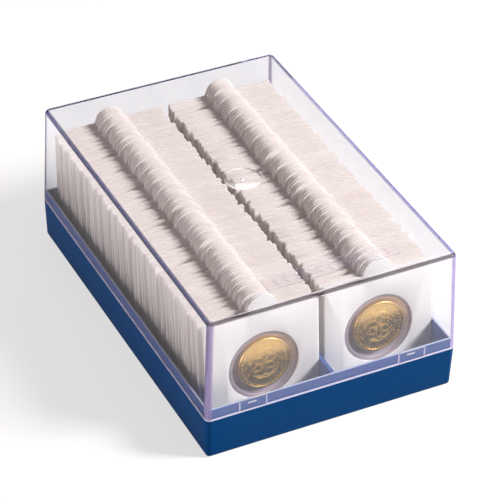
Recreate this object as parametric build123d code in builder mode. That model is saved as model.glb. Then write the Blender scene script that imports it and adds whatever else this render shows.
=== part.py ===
from build123d import *
import math
import os

# A storage box for square coin holders. The tray and its dividing wall make two compartments. The clear
# lid slips over the tray's neck and stands on its shoulder. Each compartment holds a row of folded card
# holders that stand on their folds and lean back, and the front holder of each row has a coin in it.
# Millimetres. X is across the two rows, -Y is the front, and the underside is at Z = 0.

# Card holders
holder_width = 50.0
holder_height = 50.0          # fold to flat top edge, without the tab
card_thickness = 0.6          # one leaf
film_slot = 0.3               # between the two leaves, where the films are held
card_corner = 0.5
tab_radius = 6.8              # half-round tab on the top edge
tab_root = 1.0                # fillet where the tab meets the edge
window_diameter = 31.5
window_drop = 0.6             # window's centre below the middle of the holder
film_thickness = 0.1
film_overlap = 1.25           # film held between the leaves around the window
film_clearance = 0.03         # from film to coin
film_spread = 0.6             # share of the slot's spare room that lies between the two films

# Coins
coin_diameter = 23.4
coin_thickness = 2.0
coin_rim = 1.1                # width of the raised rim
coin_relief = 0.15            # from the rim down to the field
coin_boss = 7.5               # radius of the plain raised disc in the middle
left_coin_shift = (0.2, 0.9)  # how far each coin lies from its window's centre
right_coin_shift = (0.0, 0.8)
film_drape = 1.8              # film between the coin's edge and the foot of its slope

# Rows
holders_in_row = 50
bundle_size = 7               # holders behind the front one, grouped in bundles
holder_pitch = 3.12           # mean distance between holders in the left row
lean_front = 5.0              # degrees that the first holder leans back
lean_back = 1.5               # and the last one
lean_scatter = 0.15
side_scatter = 0.9            # how far holders stand out of line, sideways
front_space = 10.1            # finger room between the front wall and the left row
row_stagger = 1.8             # how much further back the right row starts
side_play = 3.64              # mean width of a compartment, less a holder's
headroom = 5.7                # tab to the inside of the lid
holder_clearance = 0.3        # holder to floor, walls and lid

# Tray
tray_height = 19.5            # underside to the shoulder that the lid stands on
tray_draft = 2.2              # degrees
floor_thickness = 3.1
divider_thickness = 1.4
divider_offset = 1.3          # from the middle of the box towards the right row
divider_drop = 1.5            # from the neck's rim down to the divider's top
neck_height = 5.0
neck_wall = 0.85
neck_clearance = 0.15         # to the lid at the neck's rim
corner_radius = 2.5
foot_radius = 1.5
rim_radius = 0.25

# Lid
lid_wall = 1.5
lid_top = 1.5
lid_draft = 1.79              # degrees
lid_edge_radius = 2.0
lid_inner_radius = 0.8
seat_gap = 0.05               # lid to shoulder

# Snap nibs on the neck, and the channels in the lid that pass over them
catch_spread = 36.2           # from the middle of the box
nib_length = 3.6
nib_radius = 0.5
nib_proud = 0.35
nib_drop = 2.1                # from the neck's rim
channel_width = 12.0
channel_depth = 0.4

# Gate well in the middle of the lid, and the blank label bar near its front edge
gate_radius = 7.75
gate_depth = 0.6
gate_nub_radius = 1.2
gate_nub_height = 0.4
label_length = 60.0
label_width = 8.0
label_inset = 15.5            # front of the box to the middle of the label
label_offset = 5.0
label_proud = 0.2
label_ribs = 11
rib_size = (1.2, 4.6)
rib_proud = 0.15


# Sizes worked out from those above
holder_thickness = 2 * card_thickness + film_slot
film_gap = film_spread * (film_slot / 2 - film_thickness)       # middle of the slot to a film
tab_reach = holder_height + tab_radius
window_height = holder_height / 2 - window_drop
foot_z = floor_thickness + holder_clearance
tab_top = foot_z + tab_reach
draft_slope = math.tan(math.radians(lid_draft))

rim_z = tray_height + neck_height
lid_base = tray_height + seat_gap
lid_height = tab_top + headroom + lid_top - lid_base
lid_top_z = lid_base + lid_height

# From the tray's inner face out to the lid's outer face, at the shoulder
wall_stack = neck_wall + neck_clearance + neck_height * draft_slope + lid_wall
# How far the lid's inner face, at the tabs, is inside the tray's inner face
taper_loss = max(0.0, (tab_top - rim_z) * draft_slope - neck_clearance - neck_wall)
back_room = tab_reach * math.sin(math.radians(lean_back)) + taper_loss + holder_clearance
row_run = (holders_in_row - 1) * holder_pitch + holder_thickness

inner_width = 2 * (holder_width + side_play) + divider_thickness
inner_depth = front_space + row_run + back_room
neck_width = inner_width + 2 * neck_wall
neck_depth = inner_depth + 2 * neck_wall
box_width = inner_width + 2 * wall_stack
box_depth = inner_depth + 2 * wall_stack
neck_radius = max(corner_radius - wall_stack + neck_wall, 0.6)

# The card's middle plane at rest. Both rows stand towards +X in their compartments.
left_line = divider_offset - divider_thickness / 2 - holder_clearance - holder_width / 2
right_line = inner_width / 2 - taper_loss - holder_clearance - holder_width / 2


def gap_share(row, index):
    """How much of the mean gap is in front of this holder: holders bunch up, with a wide gap here and there."""
    wave = 0.32 * math.sin(2.4 * index + 1.7 * row) + 0.18 * math.sin(0.9 * index + row)
    return 1.0 + wave + (0.9 if (index + 3 * row) % 9 == 5 else 0.0)


def row_feet(row):
    """Y of each holder's foot, front to back, spread over the row's run."""
    shares = [gap_share(row, index) for index in range(1, holders_in_row)]
    stagger = row * row_stagger
    free_gap = ((holder_pitch - holder_thickness) * len(shares) - stagger) / sum(shares)
    feet = [-inner_depth / 2 + front_space + stagger + holder_thickness / 2]
    for share in shares:
        feet.append(feet[-1] + holder_thickness + free_gap * share)
    return feet


def holder_plane(row, index):
    """The plane of one holder: its origin is the middle of the fold, and its Z points to the front."""
    share = index / (holders_in_row - 1)
    lean = math.radians(lean_front + (lean_back - lean_front) * share + lean_scatter * math.sin(1.9 * index + row))
    line = right_line if row else left_line
    side = side_scatter * 0.5 * (1 - math.cos((3.7 + 0.3 * row) * index))
    foot = foot_z + holder_thickness / 2 * math.sin(lean)
    return Plane(
        origin=(line - side, row_feet(row)[index], foot),
        x_dir=(1, 0, 0),
        z_dir=(0, -math.cos(lean), math.sin(lean)),
    )


def is_upright(edge):
    """True for an edge that climbs, as the corners of a tapered box do."""
    return abs(edge.tangent_at(0.5).Z) > 0.5


os.makedirs("parts", exist_ok=True)

# Tray
with BuildPart() as tray:
    with BuildSketch(Plane.XY.offset(tray_height)):
        RectangleRounded(box_width, box_depth, corner_radius)
    extrude(amount=tray_height, dir=(0, 0, -1), taper=tray_draft)
    fillet(tray.faces().sort_by(Axis.Z)[0].edges(), foot_radius)
    with BuildSketch(Plane.XY.offset(tray_height)):
        RectangleRounded(neck_width, neck_depth, neck_radius)
    extrude(amount=neck_height)
    with BuildSketch(Plane.XY.offset(floor_thickness)):
        Rectangle(inner_width, inner_depth)
    extrude(amount=rim_z - floor_thickness, mode=Mode.SUBTRACT)
    fillet(tray.faces().sort_by(Axis.Z)[-1].edges(), rim_radius)
    with Locations((divider_offset, 0, floor_thickness)):
        Box(
            divider_thickness,
            inner_depth + neck_wall,
            rim_z - divider_drop - floor_thickness,
            align=(Align.CENTER, Align.CENTER, Align.MIN),
        )
    for end in (-1, 1):
        nib_y = end * (neck_depth / 2 + nib_proud - nib_radius)
        with Locations((-catch_spread, nib_y, rim_z - nib_drop), (catch_spread, nib_y, rim_z - nib_drop)):
            Cylinder(nib_radius, nib_length, rotation=(0, 90, 0))
tray.part.label = "tray"
export_step(tray.part, "parts/tray.step")

# The lid's hollow
with BuildPart() as lid_core:
    with BuildSketch(Plane.XY.offset(lid_base)):
        Rectangle(box_width - 2 * lid_wall, box_depth - 2 * lid_wall)
    extrude(amount=lid_height - lid_top, taper=lid_draft)
    ceiling_edges = lid_core.faces().sort_by(Axis.Z)[-1].edges()
    fillet(lid_core.edges().filter_by(is_upright) + ceiling_edges, lid_inner_radius)

# Lid
with BuildPart() as lid:
    with BuildSketch(Plane.XY.offset(lid_base)):
        Rectangle(box_width, box_depth)
    extrude(amount=lid_height, taper=lid_draft)
    fillet(lid.edges().filter_by(is_upright), corner_radius)
    fillet(lid.faces().sort_by(Axis.Z)[-1].edges(), lid_edge_radius)
    add(lid_core.part, mode=Mode.SUBTRACT)

    # Channels that pass over the snap nibs, open at the rim
    channel_y = box_depth / 2 - lid_wall - channel_width / 2 + channel_depth
    for end in (-1, 1):
        with Locations(
            (-catch_spread, end * channel_y, lid_base), (catch_spread, end * channel_y, lid_base)
        ):
            Box(
                channel_width,
                channel_width,
                neck_height,
                align=(Align.CENTER, Align.CENTER, Align.MIN),
                mode=Mode.SUBTRACT,
            )

    # Gate well: a dish in the top face, with the nub that the gate left in it and the same bulge under it
    inside_z = lid_top_z - lid_top
    dish_z = lid_top_z - gate_depth
    with BuildSketch(Plane.XZ):
        with BuildLine():
            TangentArc((0, inside_z - gate_depth), (gate_radius, inside_z), tangent=(1, 0))
            Polyline((gate_radius, inside_z), (0, inside_z), (0, inside_z - gate_depth))
        make_face()
    revolve(axis=Axis.Z)
    with BuildSketch(Plane.XZ):
        with BuildLine():
            TangentArc((0, dish_z), (gate_radius, lid_top_z), tangent=(1, 0))
            Polyline((gate_radius, lid_top_z), (0, lid_top_z), (0, dish_z))
        make_face()
        with BuildLine():
            Polyline(
                (0, dish_z),
                (gate_nub_radius, dish_z),
                (gate_nub_radius / 2, dish_z + gate_nub_height),
                (0, dish_z + gate_nub_height),
                close=True,
            )
        make_face(mode=Mode.SUBTRACT)
    revolve(axis=Axis.Z, mode=Mode.SUBTRACT)

    # Blank label bar with plain ribs
    with BuildSketch(Plane.XY.offset(lid_top_z)):
        with Locations((label_offset, label_inset - box_depth / 2)):
            RectangleRounded(label_length, label_width, label_width / 8)
    extrude(amount=label_proud)
    with BuildSketch(Plane.XY.offset(lid_top_z + label_proud)):
        with Locations((label_offset, label_inset - box_depth / 2)):
            with GridLocations(label_length / (label_ribs + 1), 0, label_ribs, 1):
                Rectangle(*rib_size)
    extrude(amount=rib_proud)
lid.part.label = "lid"
export_step(lid.part, "parts/lid.step")

# One holder's folded card in its own plane: two leaves, joined along the fold at Y = 0
with BuildPart() as card:
    with BuildSketch() as outline:
        with Locations((0, holder_height / 2)):
            RectangleRounded(holder_width, holder_height, card_corner)
        with Locations((0, holder_height)):
            Circle(tab_radius)
        fillet(outline.vertices().sort_by_distance((0, holder_height))[:2], tab_root)
        with Locations((0, window_height)):
            Circle(window_diameter / 2, mode=Mode.SUBTRACT)
    extrude(amount=holder_thickness / 2, both=True)
    with Locations((0, card_thickness, 0)):
        Box(
            holder_width,
            tab_reach,
            film_slot,
            align=(Align.CENTER, Align.MIN, Align.CENTER),
            mode=Mode.SUBTRACT,
        )

# The two films of an empty holder, flat against each other
with BuildPart() as films:
    for side in (1, -1):
        with Locations((0, window_height, side * (film_gap + film_thickness / 2))):
            Cylinder(window_diameter / 2 + film_overlap, film_thickness)

# A film that stands out over a coin, in its own frame: its axis is the window's, Z to the outside
film_lift = coin_thickness / 2 + film_clearance
film_edge = window_diameter / 2 + film_overlap
coin_reach = coin_diameter / 2 + max(math.hypot(*left_coin_shift), math.hypot(*right_coin_shift))
with BuildPart() as coin_film:
    with BuildSketch(Plane.XZ):
        with BuildLine():
            Polyline(
                (0, film_lift),
                (coin_reach + film_clearance, film_lift),
                (coin_reach + film_drape, film_gap),
                (film_edge, film_gap),
                (film_edge, film_gap + film_thickness),
                (coin_reach + film_drape + film_thickness / 2, film_gap + film_thickness),
                (coin_reach + film_clearance + film_thickness / 2, film_lift + film_thickness),
                (0, film_lift + film_thickness),
                close=True,
            )
        make_face()
    revolve(axis=Axis.Z)

# A coin with a raised rim and a plain raised disc on each face
with BuildPart() as coin:
    Cylinder(coin_diameter / 2, coin_thickness)
    for side in (1, -1):
        with BuildSketch(Plane.XY.offset(side * coin_thickness / 2)):
            Circle(coin_diameter / 2 - coin_rim)
            Circle(coin_boss, mode=Mode.SUBTRACT)
        extrude(amount=coin_relief, dir=(0, 0, -side), mode=Mode.SUBTRACT)

# Front holder of each row, with its coin between its own two films
window_centre = (0, window_height, 0)
for row, row_name, coin_shift in ((0, "left", left_coin_shift), (1, "right", right_coin_shift)):
    coin_centre = (coin_shift[0], window_height + coin_shift[1], 0)
    plane = holder_plane(row, 0)
    behind = Plane(plane.origin, x_dir=-plane.x_dir, z_dir=-plane.z_dir)
    with BuildPart() as front_card:
        with Locations(plane):
            add(card.part)
    with BuildPart() as front_film:
        with Locations(plane):
            with Locations(window_centre):
                add(coin_film.part)
    with BuildPart() as back_film:
        with Locations(behind):
            with Locations(window_centre):
                add(coin_film.part)
    with BuildPart() as front_coin:
        with Locations(plane):
            with Locations(coin_centre):
                add(coin.part)
    for piece_name, piece in (
        ("card", front_card),
        ("film_front", front_film),
        ("film_back", back_film),
        ("coin", front_coin),
    ):
        piece.part.label = f"{row_name}_front_{piece_name}"
        export_step(piece.part, f"parts/{piece.part.label}.step")

# The holders behind it, in bundles: a node of their cards and a node of their films
for row, row_name in enumerate(("left", "right")):
    for bundle, first in enumerate(range(1, holders_in_row, bundle_size), start=1):
        planes = [holder_plane(row, index) for index in range(first, min(first + bundle_size, holders_in_row))]
        with BuildPart() as bundle_cards:
            with Locations(*planes):
                add(card.part)
        with BuildPart() as bundle_films:
            with Locations(*planes):
                add(films.part)
        bundle_cards.part.label = f"{row_name}_bundle_{bundle}_cards"
        export_step(bundle_cards.part, f"parts/{bundle_cards.part.label}.step")
        bundle_films.part.label = f"{row_name}_bundle_{bundle}_films"
        export_step(bundle_films.part, f"parts/{bundle_films.part.label}.step")

print(f"box {box_width:.2f} x {box_depth:.2f} x {lid_top_z:.2f}, holders {holders_in_row} in each row")
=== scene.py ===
# %% [markdown]
# # A storage box for square coin holders
# The box has a glossy blue tray, a clear lid that slips over the tray's neck, and two rows of folded card
# holders. Each holder shuts two clear films in its window, and the front holder of each row has a coin
# between them. The sizes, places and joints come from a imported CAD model. This lesson dresses that model: it
# softens the cards, strikes two coins and gives every piece the finish of its real material.

# %% Load the model
import bmesh
import bpy
import math
import random
from mathutils import Matrix, Vector


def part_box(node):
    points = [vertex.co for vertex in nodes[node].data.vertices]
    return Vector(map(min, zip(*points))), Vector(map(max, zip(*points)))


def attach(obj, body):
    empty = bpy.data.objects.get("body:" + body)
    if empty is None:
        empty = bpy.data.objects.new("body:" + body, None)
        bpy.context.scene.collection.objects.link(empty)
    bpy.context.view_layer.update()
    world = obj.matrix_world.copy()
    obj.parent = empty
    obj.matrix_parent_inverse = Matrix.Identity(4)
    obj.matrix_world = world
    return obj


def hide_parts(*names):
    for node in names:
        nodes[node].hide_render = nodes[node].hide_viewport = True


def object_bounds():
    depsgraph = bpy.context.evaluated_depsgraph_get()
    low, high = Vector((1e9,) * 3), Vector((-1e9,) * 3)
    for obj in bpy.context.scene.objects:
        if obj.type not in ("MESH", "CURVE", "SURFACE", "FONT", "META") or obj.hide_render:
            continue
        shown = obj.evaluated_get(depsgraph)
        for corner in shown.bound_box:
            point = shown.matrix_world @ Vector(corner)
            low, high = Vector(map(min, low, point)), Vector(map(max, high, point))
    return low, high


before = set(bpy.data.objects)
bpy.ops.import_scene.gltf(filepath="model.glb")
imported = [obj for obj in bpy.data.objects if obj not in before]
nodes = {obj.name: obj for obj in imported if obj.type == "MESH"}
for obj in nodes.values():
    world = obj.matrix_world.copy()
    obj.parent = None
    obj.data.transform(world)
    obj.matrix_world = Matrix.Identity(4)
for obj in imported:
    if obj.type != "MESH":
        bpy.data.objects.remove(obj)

cad_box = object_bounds()
MM = 0.001
ROWS = ("left", "right")
BUNDLES = 7                 # in each row, behind the front holder
print("CAD box in millimetres:", [[round(v / MM, 1) for v in corner] for corner in cad_box])

# %% [markdown]
# ## Materials
# A material is a small graph of nodes. One helper adds a node, sets its inputs and joins its links, so that
# each finish below reads as a list of what it is made of. Colours are written as sRGB hex values, the way a
# paint chart gives them, and one function turns them to the linear values that the renderer works in.

# %% Helpers for materials
def linear(hex_colour):
    """An sRGB hex colour as linear RGBA."""
    channels = [int(hex_colour[i:i + 2], 16) / 255 for i in (1, 3, 5)]
    return [c / 12.92 if c <= 0.04045 else ((c + 0.055) / 1.055) ** 2.4 for c in channels] + [1.0]


def add_node(material, kind, inputs=None, **settings):
    """Adds a shader node. inputs maps a socket to a value, or to the output socket that feeds it."""
    node = material.node_tree.nodes.new("ShaderNode" + kind)
    for name, value in settings.items():
        setattr(node, name, value)
    for name, value in (inputs or {}).items():
        if isinstance(value, bpy.types.NodeSocket):
            material.node_tree.links.new(value, node.inputs[name])
        else:
            node.inputs[name].default_value = value
    return node


def new_material(name):
    """An empty material, its Object coordinates, and its output node."""
    material = bpy.data.materials.new(name)
    material.use_nodes = True
    material.node_tree.nodes.clear()
    place = add_node(material, "TexCoord").outputs["Object"]
    output = add_node(material, "OutputMaterial")
    return material, place, output


def per_metre(millimetres):
    """The texture scale that repeats a pattern once in that many millimetres."""
    return 1 / (millimetres * MM)


def finish_with(material, output, shader):
    """Joins a shader to the material's surface."""
    material.node_tree.links.new(shader, output.inputs["Surface"])
    return material


# %% [markdown]
# ## Blue polystyrene
# The tray is injection moulded from blue polystyrene against a polished steel tool. That gives a deep, even
# colour with a clear gloss, and only a very slight waviness where the plastic shrank as it cooled. A noise
# about 9 mm wide makes the waviness, and a finer one breaks up the gloss a little, as handling does. The
# body is double walled by its floor and skirt and looks deep. The neck and the divider are thin, and inside
# the neck's outline the blue is painted paler: painted light, which makes them look lit through. A test on
# Object coordinates finds what lies inside the neck's outline. The four snap nibs are the only thing outside
# it that is above the shoulder, and they are painted whitish, a painted glint, as is the top of the neck's
# rim, a painted highlight.

# %% Blue polystyrene
SHOULDER = 1.8 * MM         # from the tray's side in to its neck
FOOT = 1.0 * MM             # below this is only the underside


def blue_polystyrene():
    material, place, output = new_material("moulded_blue_polystyrene")
    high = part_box("tray")[1]
    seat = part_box("lid")[0].z
    waves = add_node(material, "TexNoise", {"Vector": place, "Scale": per_metre(9.0), "Detail": 2.0})
    handling = add_node(material, "TexNoise", {"Vector": place, "Scale": per_metre(2.5), "Detail": 5.0})
    outward = add_node(material, "VectorMath", {0: place}, operation="ABSOLUTE")
    beyond = add_node(material, "VectorMath", {
        0: outward.outputs["Vector"], 1: high - Vector((SHOULDER, SHOULDER, 0))}, operation="SUBTRACT")
    sides = add_node(material, "SeparateXYZ", {0: beyond.outputs["Vector"]})
    height = add_node(material, "SeparateXYZ", {0: place}).outputs["Z"]
    outside = add_node(material, "Math", {0: sides.outputs["X"], 1: sides.outputs["Y"]}, operation="MAXIMUM")
    inside = add_node(material, "Math", {0: outside.outputs[0], 1: 0.05 * MM}, operation="LESS_THAN")
    above = add_node(material, "Math", {0: height, 1: FOOT}, operation="GREATER_THAN")
    paler_inside = add_node(material, "Math", {0: inside.outputs[0], 1: above.outputs[0]}, operation="MULTIPLY")
    # Painted glints and a painted highlight: the nibs and the top of the neck's rim are mixed towards a near
    # white for the light that they catch, not for a whiter plastic.
    over = add_node(material, "Math", {0: height, 1: seat}, operation="GREATER_THAN")
    beyond_neck = add_node(material, "MapRange", {
        "Value": outside.outputs[0], "From Min": 0.1 * MM, "From Max": 0.25 * MM,
        "To Min": 0.0, "To Max": 0.8})
    nib_glint = add_node(material, "Math", {0: over.outputs[0], 1: beyond_neck.outputs["Result"]}, operation="MULTIPLY")
    rim_highlight = add_node(material, "MapRange", {
        "Value": height, "From Min": high.z - 0.3 * MM, "From Max": high.z - 0.1 * MM,
        "To Min": 0.0, "To Max": 0.5})
    painted_highlights = add_node(material, "Math", {0: nib_glint.outputs[0], 1: rim_highlight.outputs["Result"]}, operation="MAXIMUM")
    deep = add_node(material, "MixRGB", {
        "Fac": waves.outputs["Fac"], "Color1": linear("#003C70"), "Color2": linear("#004076")})
    # Painted light: inside the neck's outline the deep blue is painted a paler blue.
    body = add_node(material, "MixRGB", {
        "Fac": paler_inside.outputs[0], "Color1": deep.outputs["Color"], "Color2": linear("#38589E")})
    tint = add_node(material, "MixRGB", {
        "Fac": painted_highlights.outputs[0], "Color1": body.outputs["Color"], "Color2": linear("#E4E8F4")})
    gloss = add_node(material, "MapRange", {
        "Value": handling.outputs["Fac"], "From Min": 0.35, "From Max": 0.7, "To Min": 0.16, "To Max": 0.24})
    bump = add_node(material, "Bump", {
        "Height": waves.outputs["Fac"], "Strength": 0.1, "Distance": 0.1 * MM})
    shader = add_node(material, "BsdfPrincipled", {
        "Base Color": tint.outputs["Color"], "Roughness": gloss.outputs["Result"],
        "Normal": bump.outputs["Normal"], "IOR": 1.55, "Specular IOR Level": 0.04})
    return finish_with(material, output, shader.outputs["BSDF"])


# %% [markdown]
# ## Clear polystyrene
# The lid is crystal polystyrene, which bends light more than glass does and takes a faint violet cast where
# it is seen edge on. The cast comes from absorption inside the wall, so a thin wall stays clear. Lamps and
# bounced light pass straight through: without that a render would put the inside of the lid in the dark,
# because light that is bent twice is hard to find by chance.
#
# Along a corner the eye looks through a thick bent wall that gathers scattered light, and a renderer needs
# very many paths to find it. So the corner columns and the top edges have a share of a plain violet or slate
# scatter, painted light that stands in for it, and near the front the top edge's slate turns to a near black
# brown, painted shade. The lid's rim and the sides of its catch channels get a paler scatter, painted
# highlights for the bright lines along them, and the raised label bar gets a faint share of it, which makes
# it paler. Each zone is found from Object coordinates and the lid's own box.

# %% Clear polystyrene
TAPER = math.tan(math.radians(1.79))    # the lid's draft
CORNER = 2.4 * MM                       # width of a corner column
EDGE = 1.7 * MM                         # width of a top edge
LID_TOP = 0.35 * MM                     # from the label's ribs down to the lid's top face
CATCH = 36.2 * MM                       # from the middle to a catch channel, and half of its width
CHANNEL_HALF = 6.0 * MM
CHANNEL_TOP = 5.0 * MM


def clear_polystyrene():
    material, place, output = new_material("crystal_polystyrene")
    low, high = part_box("lid")
    top = high.z - LID_TOP
    position = add_node(material, "SeparateXYZ", {0: place})
    height = position.outputs["Z"]
    outward = add_node(material, "VectorMath", {0: place}, operation="ABSOLUTE")
    climb = add_node(material, "Math", {0: height, 1: TAPER, 2: -TAPER * low.z}, operation="MULTIPLY_ADD")
    beyond = add_node(material, "VectorMath", {0: outward.outputs["Vector"], 1: high}, operation="SUBTRACT")
    depth = add_node(material, "VectorMath", {
        0: beyond.outputs["Vector"], 1: climb.outputs[0]}, operation="ADD")
    sides = add_node(material, "SeparateXYZ", {0: depth.outputs["Vector"]})
    both_near = add_node(material, "Math", {
        0: sides.outputs["X"], 1: sides.outputs["Y"]}, operation="MINIMUM")
    one_near = add_node(material, "Math", {0: sides.outputs["X"], 1: sides.outputs["Y"]}, operation="MAXIMUM")
    column = add_node(material, "MapRange", {
        "Value": both_near.outputs[0], "From Min": -CORNER, "From Max": 0.8 * -CORNER})
    edge_side = add_node(material, "MapRange", {
        "Value": one_near.outputs[0], "From Min": -EDGE, "From Max": 0.6 * -EDGE})
    edge_top = add_node(material, "MapRange", {
        "Value": height, "From Min": top - EDGE, "From Max": top - 0.6 * EDGE})
    edge = add_node(material, "Math", {
        0: edge_side.outputs["Result"], 1: edge_top.outputs["Result"]}, operation="MULTIPLY")

    # Painted highlights: the lid's rim and the sides of its catch channels get a share of a paler scatter for
    # the bright lines along them; the raised label bar gets a faint share of it, which makes it paler.
    rim_highlight = add_node(material, "MapRange", {
        "Value": height, "From Min": low.z + 0.3 * MM, "From Max": low.z + 0.45 * MM,
        "To Min": 0.75, "To Max": 0.0})
    across = add_node(material, "SeparateXYZ", {0: outward.outputs["Vector"]})
    from_catch = add_node(material, "Math", {0: across.outputs["X"], 1: CATCH}, operation="SUBTRACT")
    off_catch = add_node(material, "Math", {0: from_catch.outputs[0]}, operation="ABSOLUTE")
    at_wall = add_node(material, "Math", {
        0: off_catch.outputs[0], 1: CHANNEL_HALF, 2: 0.2 * MM}, operation="COMPARE")
    low_down = add_node(material, "Math", {0: height, 1: low.z + CHANNEL_TOP}, operation="LESS_THAN")
    at_end = add_node(material, "Math", {
        0: sides.outputs["Y"], 1: -2.0 * MM}, operation="GREATER_THAN")
    beside = add_node(material, "Math", {0: at_wall.outputs[0], 1: low_down.outputs[0]}, operation="MULTIPLY")
    channel_highlight = add_node(material, "Math", {0: beside.outputs[0], 1: at_end.outputs[0]}, operation="MULTIPLY")
    raised = add_node(material, "MapRange", {
        "Value": height, "From Min": top + 0.05 * MM, "From Max": high.z, "To Min": 0.0, "To Max": 0.13})
    ends = add_node(material, "Math", {0: channel_highlight.outputs[0], 1: 0.6}, operation="MULTIPLY")
    lower = add_node(material, "Math", {0: rim_highlight.outputs["Result"], 1: ends.outputs[0]}, operation="MAXIMUM")
    paler_scatter = add_node(material, "Math", {
        0: lower.outputs[0], 1: raised.outputs["Result"]}, operation="MAXIMUM")

    from_front = add_node(material, "MapRange", {
        "Value": position.outputs["Y"], "From Min": low.y + CORNER, "From Max": low.y + 2 * CORNER})
    # Painted shade: near the front the top edge's slate turns to a near black brown.
    slate = add_node(material, "MixRGB", {
        "Fac": from_front.outputs["Result"], "Color1": linear("#2A1E1C"), "Color2": linear("#33428A")})
    painted_edge_colour = add_node(material, "MixRGB", {
        "Fac": edge.outputs[0], "Color1": linear("#A294C4"), "Color2": slate.outputs["Color"]})
    colour = add_node(material, "MixRGB", {
        "Fac": paler_scatter.outputs[0], "Color1": painted_edge_colour.outputs["Color"], "Color2": linear("#EEECFA")})
    column_share = add_node(material, "Math", {0: column.outputs["Result"], 1: 0.6}, operation="MULTIPLY")
    edge_share = add_node(material, "Math", {0: edge.outputs[0], 1: 0.75}, operation="MULTIPLY")
    share = add_node(material, "Math", {
        0: column_share.outputs[0], 1: edge_share.outputs[0]}, operation="MAXIMUM")
    scattered = add_node(material, "Math", {0: share.outputs[0], 1: paler_scatter.outputs[0]}, operation="MAXIMUM")

    glass = add_node(material, "BsdfPrincipled", {
        "Base Color": linear("#F9F9FB"), "Roughness": 0.0, "IOR": 1.55, "Specular IOR Level": 0.42,
        "Transmission Weight": 1.0})
    scatter = add_node(material, "BsdfDiffuse", {"Color": colour.outputs["Color"]})
    wall = add_node(material, "MixShader", {
        0: scattered.outputs[0], 1: glass.outputs["BSDF"], 2: scatter.outputs["BSDF"]})
    see_through = add_node(material, "BsdfTransparent", {"Color": linear("#F8F8F8")})
    path = add_node(material, "LightPath")
    passes = add_node(material, "Math", {
        0: path.outputs["Is Shadow Ray"], 1: path.outputs["Is Diffuse Ray"]}, operation="MAXIMUM")
    both = add_node(material, "MixShader", {
        0: passes.outputs[0], 1: wall.outputs["Shader"], 2: see_through.outputs["BSDF"]})
    cast = add_node(material, "VolumeAbsorption", {"Color": linear("#C0B4E8"), "Density": 14.0})
    material.node_tree.links.new(cast.outputs["Volume"], output.inputs["Volume"])
    return finish_with(material, output, both.outputs["Shader"])


# %% [markdown]
# ## Card
# The holders are punched from white board about 0.6 mm thick. Its faces are smooth and a little pink, and
# the cut edges show the raw fibre, which is browner and rougher. The faces inside a row are painted browner
# than those of the front holders: painted shade for the gaps between the cards, and that tone also colours
# the light that reaches down between them. Three materials share one function: the fibre noise is stretched
# along the board's grain, and every holder is a shade lighter or darker than the next one, because a row is
# never all of one age.

# %% Card
def board(name, light, dark, rough, fibre_depth):
    material, place, output = new_material(name)
    grain = add_node(material, "Mapping", {"Vector": place, "Scale": (1.0, 1.0, 3.0)})
    fibre = add_node(material, "TexNoise", {
        "Vector": grain.outputs["Vector"], "Scale": per_metre(0.9), "Detail": 6.0, "Roughness": 0.65})
    age = add_node(material, "NewGeometry").outputs["Random Per Island"]
    mottle = add_node(material, "MapRange", {
        "Value": fibre.outputs["Fac"], "From Min": 0.3, "From Max": 0.7, "To Min": 0.0, "To Max": 0.5})
    share = add_node(material, "Math", {
        0: age, 1: 0.5, 2: mottle.outputs["Result"]}, operation="MULTIPLY_ADD")
    colour = add_node(material, "MixRGB", {
        "Fac": share.outputs[0], "Color1": linear(light), "Color2": linear(dark)})
    bump = add_node(material, "Bump", {
        "Height": fibre.outputs["Fac"], "Strength": 0.4, "Distance": fibre_depth * MM})
    shader = add_node(material, "BsdfPrincipled", {
        "Base Color": colour.outputs["Color"], "Roughness": rough, "Normal": bump.outputs["Normal"],
        "Specular IOR Level": 0.3})
    return finish_with(material, output, shader.outputs["BSDF"])


# %% [markdown]
# ## Film
# The windows are clear polyester film, a tenth of a millimetre thick and very glossy. It is pulled over the
# coin, so the shine is broken by slight ripples, which a soft bump draws. The films of the holders without a
# coin and those behind the coins are scuffed, so a share of plain scatter makes them hazy.

# %% Film
def polyester_film(name, haze_share):
    material, place, output = new_material(name)
    lines = add_node(material, "TexNoise", {"Vector": place, "Scale": per_metre(3.0), "Detail": 2.0})
    bump = add_node(material, "Bump", {
        "Height": lines.outputs["Fac"], "Strength": 0.1, "Distance": 0.05 * MM})
    glass = add_node(material, "BsdfPrincipled", {
        "Base Color": linear("#F9F8F9"), "Roughness": 0.04, "IOR": 1.3,
        "Transmission Weight": 1.0, "Normal": bump.outputs["Normal"]})
    haze = add_node(material, "BsdfDiffuse", {"Color": linear("#D6CDD4")})
    hazy = add_node(material, "MixShader", {
        0: haze_share, 1: glass.outputs["BSDF"], 2: haze.outputs["BSDF"]})
    see_through = add_node(material, "BsdfTransparent", {"Color": linear("#F2EFF4")})
    path = add_node(material, "LightPath")
    passes = add_node(material, "Math", {
        0: path.outputs["Is Shadow Ray"], 1: path.outputs["Is Diffuse Ray"]}, operation="MAXIMUM")
    both = add_node(material, "MixShader", {
        0: passes.outputs[0], 1: hazy.outputs["Shader"], 2: see_through.outputs["BSDF"]})
    return finish_with(material, output, both.outputs["Shader"])


# %% [markdown]
# ## Struck brass
# The coins are golden brass. Striking leaves the field bright and the worn high spots brighter still, with
# a little brown dirt in the low corners beside the relief. Pointiness would tell high from low, but it is
# lost when a model leaves the renderer, so a fine noise carries the dirt and the relief does the rest.

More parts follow.
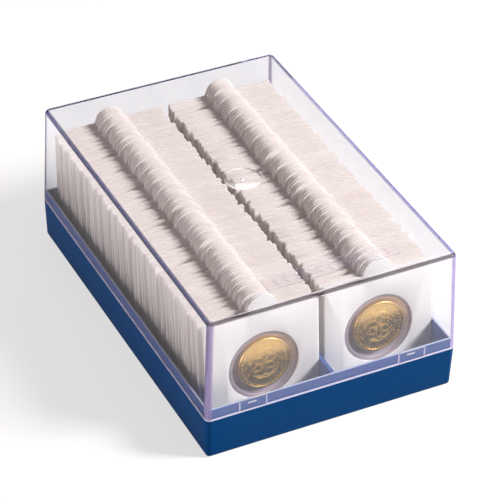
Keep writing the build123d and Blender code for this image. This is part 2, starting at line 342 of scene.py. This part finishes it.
# %% Struck brass
def struck_brass():
    material, place, output = new_material("struck_golden_brass")
    dirt = add_node(material, "TexNoise", {
        "Vector": place, "Scale": per_metre(1.1), "Detail": 7.0, "Roughness": 0.7})
    share = add_node(material, "MapRange", {
        "Value": dirt.outputs["Fac"], "From Min": 0.42, "From Max": 0.75, "To Min": 0.0, "To Max": 0.8})
    colour = add_node(material, "MixRGB", {
        "Fac": share.outputs["Result"], "Color1": linear("#F8CC74"), "Color2": linear("#CFA04C")})
    gloss = add_node(material, "MapRange", {
        "Value": dirt.outputs["Fac"], "From Min": 0.3, "From Max": 0.7, "To Min": 0.2, "To Max": 0.3})
    bump = add_node(material, "Bump", {
        "Height": dirt.outputs["Fac"], "Strength": 0.15, "Distance": 0.02 * MM})
    shader = add_node(material, "BsdfPrincipled", {
        "Base Color": colour.outputs["Color"], "Metallic": 1.0, "Roughness": gloss.outputs["Result"],
        "Normal": bump.outputs["Normal"]})
    return finish_with(material, output, shader.outputs["BSDF"])


# %% [markdown]
# The finishes are made once and shared by all the pieces that have them. The tray and the lid keep their
# CAD shape, because it is already right, and only take their material.

# %% Make the materials
tray_blue = blue_polystyrene()
lid_clear = clear_polystyrene()
card_face = board("white_board_face", "#F0EFEE", "#E8E4E2", 0.75, 0.02)
# Painted shade: the faces inside the rows are browner than those of the front holders.
shaded_row_face = board("shaded_board_face", "#EFE9E6", "#E6DCD6", 0.8, 0.02)
card_edge = board("white_board_cut_edge", "#F3EAE4", "#DAC3AE", 0.9, 0.06)
film_clear = polyester_film("clear_polyester_film", 0.0)
film_hazy = polyester_film("scuffed_polyester_film", 0.35)
coin_brass = struck_brass()


def dress(piece, *materials):
    """Gives a mesh these materials and no others."""
    piece.data.materials.clear()
    for material in materials:
        piece.data.materials.append(material)


dress(nodes["tray"], tray_blue)
dress(nodes["lid"], lid_clear)

# %% [markdown]
# ## Softened cards
# A CAD card has knife-sharp edges and dead flat leaves. Real board is crushed a little where the punch cut
# it, it bows, and the two leaves spring apart at their free corners. Each group of cards starts as a copy of
# its CAD node. Planes across X cut the leaves into strips, so that they can bend, a bevel rounds the cut
# edges, and then every vertex moves by a bow and a spread that differ from card to card. Nobody lines up a
# row of holders exactly, so each stands a little further out than the last, until one is pushed back.

# %% Card islands
def islands_of(mesh):
    """The vertices of each separate solid in a bmesh."""
    seen, found = set(), []
    for start in mesh.verts:
        if start in seen:
            continue
        island, todo = [], [start]
        seen.add(start)
        while todo:
            vertex = todo.pop()
            island.append(vertex)
            for edge in vertex.link_edges:
                other = edge.other_vert(vertex)
                if other not in seen:
                    seen.add(other)
                    todo.append(other)
        found.append(island)
    return sorted(found, key=lambda island: sum(v.co.y for v in island) / len(island))


def face_normal(island):
    """The direction that a card's or coin's largest face looks in, turned to the front."""
    faces = {face for vertex in island for face in vertex.link_faces}
    normal = max(faces, key=lambda face: face.calc_area()).normal.copy()
    return normal if normal.y < 0 else -normal


# %% Cut, bevel and bend
STRIP = 8 * MM              # width of the strips that a leaf bends in
CRUSH = 0.12 * MM           # radius of a crushed edge
BOW = 0.15 * MM             # most that a card bows
SAME = 0.001 * MM           # vertices nearer than this are one
CUT_ANGLE = math.radians(50)    # edges sharper than this were cut by the punch
FACE_SHARE = 0.9            # a polygon this much in line with the card's face belongs to it
SPREAD = 0.3 * MM           # most that a leaf springs out at the top of its tab
LEAN = math.radians(0.2)    # most that a loose card leans out of its row
SHIFT = 1.0 * MM            # most that a loose card stands out to the left
STEP = 0.19                 # share of that from one card to the next, before it starts again
bend_random = random.Random(11)


def bend_card(island, half_width, loose, number, back):
    """Bows one card and springs its leaves apart. A loose one leans and stands out a little too.

    No vertex goes past the Y of back, because the last card of a row stands close to the lid."""
    normal = face_normal(island)
    low = min(v.co.z for v in island)
    high = max(v.co.z for v in island)
    middle_x = (min(v.co.x for v in island) + max(v.co.x for v in island)) / 2
    bow = BOW * bend_random.uniform(-1, 0.4)
    spread = [SPREAD * bend_random.uniform(0.5, 1.0) for _ in range(2)]
    lean = LEAN * bend_random.uniform(-1, 1) * loose
    wander = (STEP * number % 1 + bend_random.uniform(0, 0.3)) / 1.3
    shift = Vector((-SHIFT * wander * loose, 0, 0))
    depth = [v.co.dot(normal) for v in island]
    middle = (min(depth) + max(depth)) / 2
    for vertex, own_depth in zip(island, depth):
        across = (vertex.co.x - middle_x) / half_width
        up = (vertex.co.z - low) / (high - low)
        side = 1 if own_depth > middle else -1
        spring = spread[0 if side > 0 else 1] * max(0.0, 2 * up - 1) ** 1.5
        swing = lean * (vertex.co.z - low)
        vertex.co += normal * (bow * (1 - across * across) * up + side * spring + swing) + shift
        vertex.co.y = min(vertex.co.y, back)


def soft_cards(node, body, name, loose, first):
    """The softened copy of a node of cards. loose is 0 where a coin holds the card, else 1.

    first is the number of its first card in the row."""
    mesh = bmesh.new()
    mesh.from_mesh(nodes[node].data)
    bmesh.ops.remove_doubles(mesh, verts=mesh.verts, dist=SAME)
    bmesh.ops.dissolve_limit(
        mesh, angle_limit=math.radians(1), verts=mesh.verts, edges=mesh.edges, use_dissolve_boundaries=False)
    sharp = [e for e in mesh.edges if len(e.link_faces) == 2 and e.calc_face_angle() > CUT_ANGLE]
    bmesh.ops.bevel(
        mesh, geom=sharp, offset=CRUSH, segments=2, profile=0.5, affect="EDGES", material=-1,
        clamp_overlap=True)
    low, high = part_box(node)
    cut = low.x + STRIP
    while cut < high.x:
        bmesh.ops.bisect_plane(
            mesh, geom=mesh.verts[:] + mesh.edges[:] + mesh.faces[:],
            plane_co=(cut, 0, 0), plane_no=(1, 0, 0))
        cut += STRIP
    mesh.normal_update()
    cards = islands_of(mesh)
    for number, island in enumerate(cards, start=first):
        normal = face_normal(island)
        for face in {f for v in island for f in v.link_faces}:
            face.material_index = 0 if abs(face.normal.dot(normal)) > FACE_SHARE else 1
            face.smooth = True
        half_width = (max(v.co.x for v in island) - min(v.co.x for v in island)) / 2
        bend_card(island, half_width, loose, number, high.y + CRUSH)
    piece = bpy.data.objects.new(name, bpy.data.meshes.new(name))
    mesh.to_mesh(piece.data)
    mesh.free()
    piece.data.set_sharp_from_angle(angle=CUT_ANGLE)
    bpy.context.scene.collection.objects.link(piece)
    # The cards in the rows take the faces with painted shade.
    dress(piece, shaded_row_face if loose else card_face, card_edge)
    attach(piece, body)
    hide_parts(node)
    return len(cards), len(piece.data.polygons)


card_count, face_count = 0, 0
for row in ROWS:
    cards, faces = soft_cards(f"{row}_front_card", f"{row}_front_holder", f"{row}_front_board", 0, 0)
    card_count, face_count = card_count + cards, face_count + faces
    first = 1
    for bundle in range(1, BUNDLES + 1):
        body = f"{row}_bundle_{bundle}"
        cards, faces = soft_cards(f"{body}_cards", body, f"{body}_boards", 1, first)
        card_count, face_count = card_count + cards, face_count + faces
        first += cards
print("cards:", card_count, "faces:", face_count)

# %% [markdown]
# ## Coins
# A coin is a turned shape with relief on it. The turned shape is a profile that is spun once round, and the
# milled edge is a small ripple in its outer ring. The relief is an invented one: a rosette of interlaced fine
# circles, twelve studs around it and a ring of beads. Only the front face has it: the back, which the holder
# hides, has a rim and a plain field.
# Real relief is shallow and flat-topped, with short steep flanks. That is what lets a coin mirror its
# surroundings as one smooth face, with the design drawn over it in thin bright and dark lines. The flanks
# are drawn wider here than a die would cut them, so that they show.

# %% Coin parts
BEADS = 40
STUDS = 12
CIRCLES = 6
MILLING = 120               # ridges round the edge
RELIEF = 0.13 * MM          # height of the design above the field
HALF = 1.0 * MM             # half the thickness, rim to rim
FIELD_DROP = 0.16 * MM      # from the rim down to the field
LINE = 0.34 * MM            # half the width of a circle's line at its foot
SUNK = 0.01 * MM            # how deep the design's foot stands in the field
RIPPLE = 0.004              # depth of the milling, as a share of the radius
STRUCK_ANGLE = math.radians(12)     # flanks steeper than this stay crisp


def placed(piece_mesh, node):
    """Turns a bmesh made flat at the origin into the plane of a CAD coin."""
    source = bmesh.new()
    source.from_mesh(nodes[node].data)
    bmesh.ops.remove_doubles(source, verts=source.verts, dist=SAME)
    normal = face_normal(source.verts)
    source.free()
    low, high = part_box(node)
    across = Vector((1, 0, 0))
    matrix = Matrix((across, normal.cross(across), normal)).transposed().to_4x4()
    matrix.translation = (low + high) / 2
    bmesh.ops.transform(piece_mesh, matrix=matrix, verts=piece_mesh.verts)


def spun(mesh, profile, steps, centre=(0, 0, 0)):
    """Spins a profile of (radius, height) points once round an upright axis through the centre."""
    middle = Vector(centre)
    ring = [mesh.verts.new(middle + Vector((r, 0, h))) for r, h in profile]
    edges = [mesh.edges.new(pair) for pair in zip(ring, ring[1:])]
    bmesh.ops.spin(
        mesh, geom=ring + edges, cent=centre, axis=(0, 0, 1), dvec=(0, 0, 0),
        angle=2 * math.pi, steps=steps, use_merge=True)


def circle_line(mesh, centre, radius, base, half_width):
    """A fine raised circle with a flat top."""
    slope = 0.35 * half_width
    spun(mesh, [
        (radius - half_width, base), (radius - slope, base + RELIEF),
        (radius + slope, base + RELIEF), (radius + half_width, base)], 48, (*centre, 0))


def stud(mesh, centre, radius, base, segments):
    """A small raised stud with sloping sides."""
    place = Matrix.Translation((*centre, base + RELIEF / 2))
    bmesh.ops.create_cone(
        mesh, cap_ends=True, segments=segments, radius1=radius, radius2=0.5 * radius, depth=RELIEF,
        matrix=place)


# %% Strike a coin
def struck_coin(node, body, name):
    low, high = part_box(node)
    radius = (high.x - low.x) / 2
    field = HALF - FIELD_DROP
    profile = [
        (0.0, field), (radius - 1.0 * MM, field), (radius - 0.8 * MM, HALF - 0.02 * MM),
        (radius - 0.7 * MM, HALF), (radius - 0.15 * MM, HALF), (radius, HALF - 0.15 * MM),
    ]
    mesh = bmesh.new()
    spun(mesh, profile + [(r, -h) for r, h in reversed(profile)], 2 * MILLING)
    bmesh.ops.remove_doubles(mesh, verts=mesh.verts, dist=0.0005 * MM)
    for vertex in mesh.verts:
        if vertex.co.to_2d().length > radius - 0.05 * MM:
            turn = math.atan2(vertex.co.y, vertex.co.x)
            vertex.co.xy *= 1 - RIPPLE * (0.5 + 0.5 * math.cos(MILLING * turn))
    base = field - SUNK
    circle = 0.27 * radius
    for i in range(CIRCLES):
        turn = 2 * math.pi * i / CIRCLES
        circle_line(mesh, (circle * math.cos(turn), circle * math.sin(turn)), circle, base, LINE)
    circle_line(mesh, (0, 0), 0.6 * radius, base, LINE)
    for count, reach, size, segments in ((STUDS, 0.72, 0.7 * MM, 5), (BEADS, 0.86, 0.4 * MM, 8)):
        for i in range(count):
            turn = 2 * math.pi * i / count
            centre = (reach * radius * math.cos(turn), reach * radius * math.sin(turn))
            stud(mesh, centre, size, base, segments)
    bmesh.ops.recalc_face_normals(mesh, faces=mesh.faces)
    placed(mesh, node)
    for face in mesh.faces:
        face.smooth = True
    piece = bpy.data.objects.new(name, bpy.data.meshes.new(name))
    mesh.to_mesh(piece.data)
    mesh.free()
    piece.data.set_sharp_from_angle(angle=STRUCK_ANGLE)
    bpy.context.scene.collection.objects.link(piece)
    dress(piece, coin_brass)
    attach(piece, body)
    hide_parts(node)
    print(name, "faces:", len(piece.data.polygons))


for row in ROWS:
    struck_coin(f"{row}_front_coin", f"{row}_front_holder", f"{row}_struck_coin")

# %% [markdown]
# ## Films
# The films keep their CAD shape, which is flat in the empty holders and draped over the coin in the front
# ones. They only need the film's finish.

# %% Finish of the films
for name, node in nodes.items():
    if name.endswith("_films") or name.endswith("_film_back"):
        dress(node, film_hazy)
    if name.endswith("_film_front"):
        dress(node, film_clear)

# %% [markdown]
# ## Floor, light and camera
# The box stands on a plain white floor that glows, as a light table does. The glow that reaches the box is
# on its left, where it fills the shaded side. A strip beside the box looks dark in a mirror, so that the
# blue keeps its depth there. Two weak lamps, low on the left and at the back, light the ends of the cards. A
# soft lamp on the right throws the long shadow. The sky is weak and warm where it only lights the box, so
# that the gaps between the cards go brown, and plain white where it is looked at.

# %% Floor
floor_mesh = bmesh.new()
bmesh.ops.create_grid(floor_mesh, x_segments=2, y_segments=2, size=4.0)
floor = bpy.data.objects.new("floor", bpy.data.meshes.new("floor"))
floor_mesh.to_mesh(floor.data)
floor_mesh.free()
bpy.context.scene.collection.objects.link(floor)
floor_paint, floor_place, floor_output = new_material("matt_white_paint")
floor_x = add_node(floor_paint, "SeparateXYZ", {0: floor_place}).outputs["X"]
# Painted light: the floor's glow that reaches the box fills its left side, and the dark strip beside the box
# is a painted reflection.
left_fill = add_node(floor_paint, "MapRange", {
    "Value": floor_x, "From Min": 1.4 * cad_box[0].x, "From Max": cad_box[0].x, "To Min": 0.7, "To Max": 0.0})
off_side = add_node(floor_paint, "Math", {0: floor_x, 1: 1.15 * cad_box[0].x}, operation="SUBTRACT")
from_side = add_node(floor_paint, "Math", {0: off_side.outputs[0]}, operation="ABSOLUTE")
left_mirror = add_node(floor_paint, "MapRange", {
    "Value": from_side.outputs[0], "From Min": -0.15 * cad_box[0].x, "From Max": -0.5 * cad_box[0].x,
    "To Min": 0.12, "To Max": 0.67})
ray = add_node(floor_paint, "LightPath")
looked_at = add_node(floor_paint, "MixRGB", {
    "Fac": ray.outputs["Is Camera Ray"], "Color1": left_mirror.outputs["Result"],
    "Color2": (0.645, 0.645, 0.645, 1.0)})
fill = add_node(floor_paint, "MixRGB", {
    "Fac": 1.0, "Color1": left_fill.outputs["Result"], "Color2": linear("#FFF6F8")}, blend_type="MULTIPLY")
glow = add_node(floor_paint, "MixRGB", {
    "Fac": ray.outputs["Is Diffuse Ray"], "Color1": looked_at.outputs["Color"],
    "Color2": fill.outputs["Color"]})
paint = add_node(floor_paint, "BsdfPrincipled", {
    "Base Color": linear("#A3A3A3"), "Roughness": 0.9, "Specular IOR Level": 0.2,
    "Emission Color": glow.outputs["Color"], "Emission Strength": 1.0})
dress(floor, finish_with(floor_paint, floor_output, paint.outputs["BSDF"]))

# %% Light
scene = bpy.context.scene
scene.view_settings.view_transform = "Standard"
scene.cycles.max_bounces = 32
scene.cycles.glossy_bounces = 24
scene.cycles.transmission_bounces = 24
scene.cycles.diffuse_bounces = 6
scene.cycles.transparent_max_bounces = 24
sky = bpy.data.worlds.new("even_sky")
sky.use_nodes = True
path = add_node(sky, "LightPath")
seen = add_node(sky, "Math", {
    0: path.outputs["Is Camera Ray"], 1: path.outputs["Is Transmission Ray"]}, operation="MAXIMUM")
sky_colour = add_node(sky, "MixRGB", {
    "Fac": seen.outputs[0], "Color1": linear("#FFDCC6"), "Color2": linear("#FFFFFF")})
sky_strength = add_node(sky, "MapRange", {"Value": seen.outputs[0], "To Min": 0.1, "To Max": 0.9})
background = sky.node_tree.nodes["Background"]
sky.node_tree.links.new(sky_colour.outputs["Color"], background.inputs["Color"])
sky.node_tree.links.new(sky_strength.outputs["Result"], background.inputs["Strength"])
scene.world = sky


def soft_lamp(name, direction, distance, size, power, colour):
    """A square lamp that looks at the middle of the box."""
    lamp = bpy.data.lights.new(name, "AREA")
    lamp.size = size
    lamp.energy = power
    lamp.color = linear(colour)[:3]
    holder = bpy.data.objects.new(name, lamp)
    holder.location = Vector(direction).normalized() * distance
    holder.rotation_euler = Vector(direction).to_track_quat("Z", "Y").to_euler()
    scene.collection.objects.link(holder)


soft_lamp("key", (0.667, -0.429, 0.607), 1.3, 0.34, 28.5, "#FFFDFC")
soft_lamp("left_fill", (-1.0, -0.25, 0.13), 1.2, 0.7, 9.0, "#FDF6FA")
soft_lamp("rear_fill", (0.3, 1.0, 0.16), 1.2, 1.0, 6.0, "#FFFCFA")

# %% Camera
CAMERA_PLACE = (-0.3852, -0.7748, 0.6675)
TURN, TILT, ROLL = (math.radians(angle) for angle in (-26.67, 36.38, 1.09))
back = Vector((math.sin(TURN) * math.cos(TILT), -math.cos(TURN) * math.cos(TILT), math.sin(TILT)))
right = Vector((0, 0, 1)).cross(back).normalized()
up = back.cross(right)
camera = bpy.data.objects.new("camera", bpy.data.cameras.new("camera"))
camera.data.lens = 180.88
camera.data.sensor_width = 36.0
camera.data.clip_start = 0.01
axes = (
    right * math.cos(ROLL) + up * math.sin(ROLL), up * math.cos(ROLL) - right * math.sin(ROLL), back)
camera.matrix_world = Matrix.Translation(CAMERA_PLACE) @ Matrix(axes).transposed().to_4x4()
scene.collection.objects.link(camera)
scene.camera = camera
